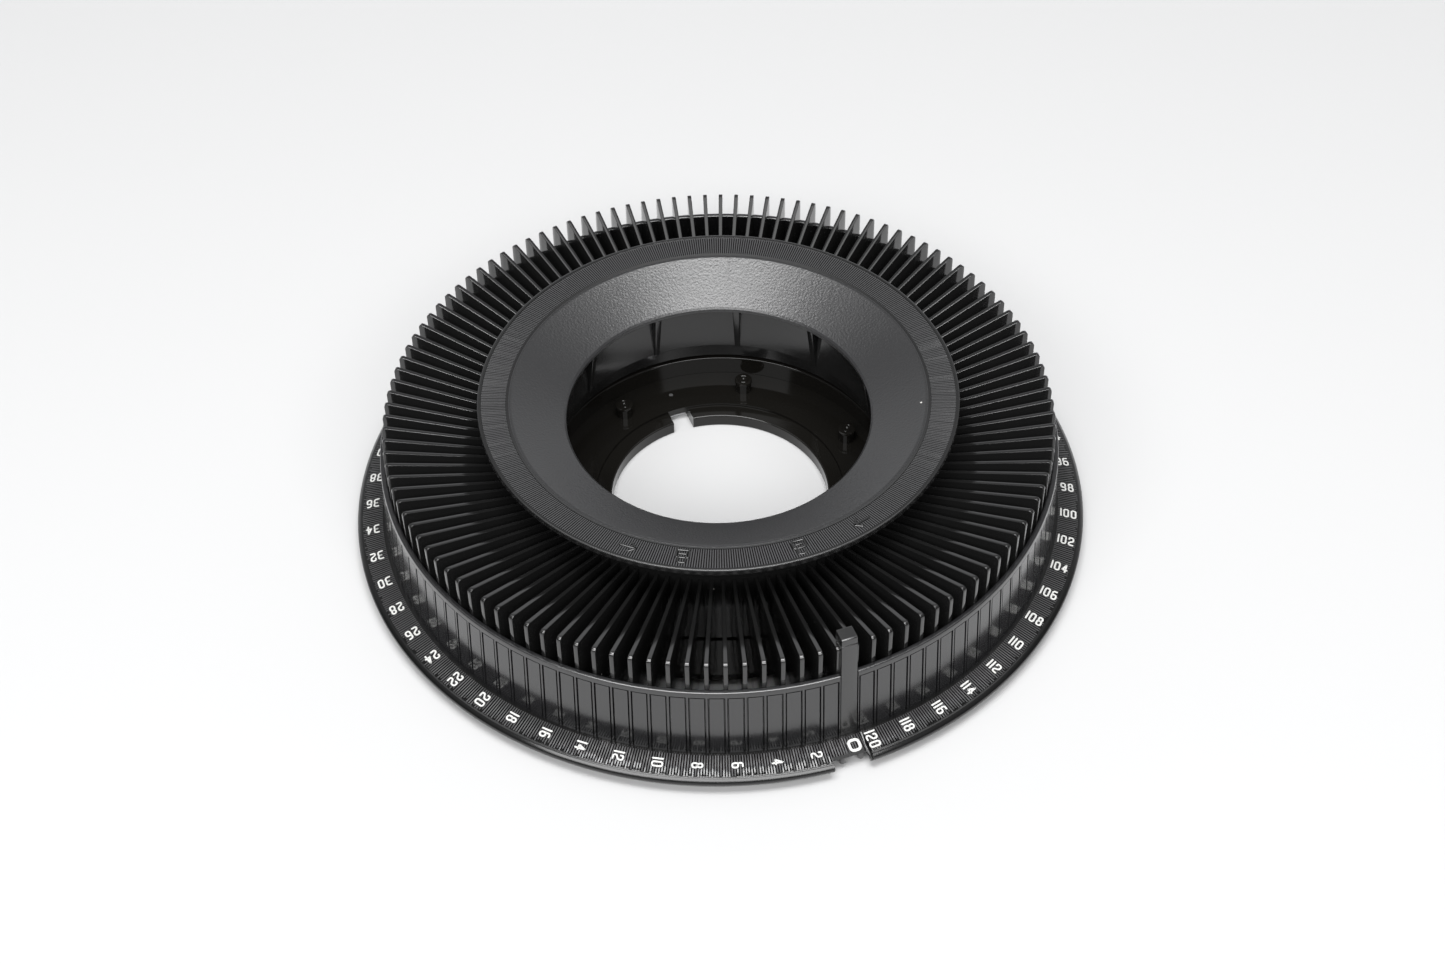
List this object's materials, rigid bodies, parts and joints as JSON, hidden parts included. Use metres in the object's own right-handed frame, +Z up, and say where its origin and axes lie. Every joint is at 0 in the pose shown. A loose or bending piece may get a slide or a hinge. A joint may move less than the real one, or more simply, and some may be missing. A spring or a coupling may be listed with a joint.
{
  "type": "rotary slide tray",
  "caption": "Round black tray that holds slides upright in numbered radial slots round a hub, with a lock ring on top and a turning base plate with a gate.",
  "frame": {"origin": "centre of the plane the tray stands on, on its axis", "axes": "+Z up along the tray's axis; position 0 is on -Y and the key notch on +Y; numbers grow clockwise seen from above"},
  "size_m": [0.17, 0.17, 0.0363],
  "materials": {
    "gloss_black": "glossy moulded plastic",
    "satin_black": "fine spark-eroded grain, satin",
    "plate_black": "glossy moulded plastic",
    "numeral_white": "white ink on raised figures",
    "steel": "plain zinc-plated steel"
  },
  "bodies": {
    "tray": {"outer_shell": "gloss_black", "index_post": "satin_black", "index_pegs": "gloss_black", "slot_fins": "gloss_black", "hub_core": "gloss_black", "hub_ribs": "gloss_black", "bayonet_tabs": "gloss_black"},
    "lock_ring_body": {"lock_ring": "satin_black", "lock_lugs": "satin_black"},
    "plate": {"base_plate": "plate_black", "plate_bearing": "plate_black", "spindle_collar": "plate_black", "plate_studs": "plate_black", "latch_peg": "steel", "latch_keeper": "steel", "latch_spring": "steel"},
    "bolt": {"latch_bolt": "steel"}
  },
  "joints": [
    {"name": "lock_turn", "type": "hinge", "parent": "tray", "child": "lock_ring_body", "pos_m": [0, 0, 0.034], "axis": [0, 0, 1], "range_deg": [-24.5, 0]},
    {"name": "plate_spin", "type": "hinge", "parent": "tray", "child": "plate", "pos_m": [0, 0, 0.003], "axis": [0, 0, 1], "continuous": true},
    {"name": "bolt_slide", "type": "slide", "parent": "plate", "child": "bolt", "axis": [0, 1, 0], "range_m": [-0.001, 0], "stiffness_N_per_m": 40, "springref_m": 0.001, "deforming": ["latch_spring"]}
  ]
}
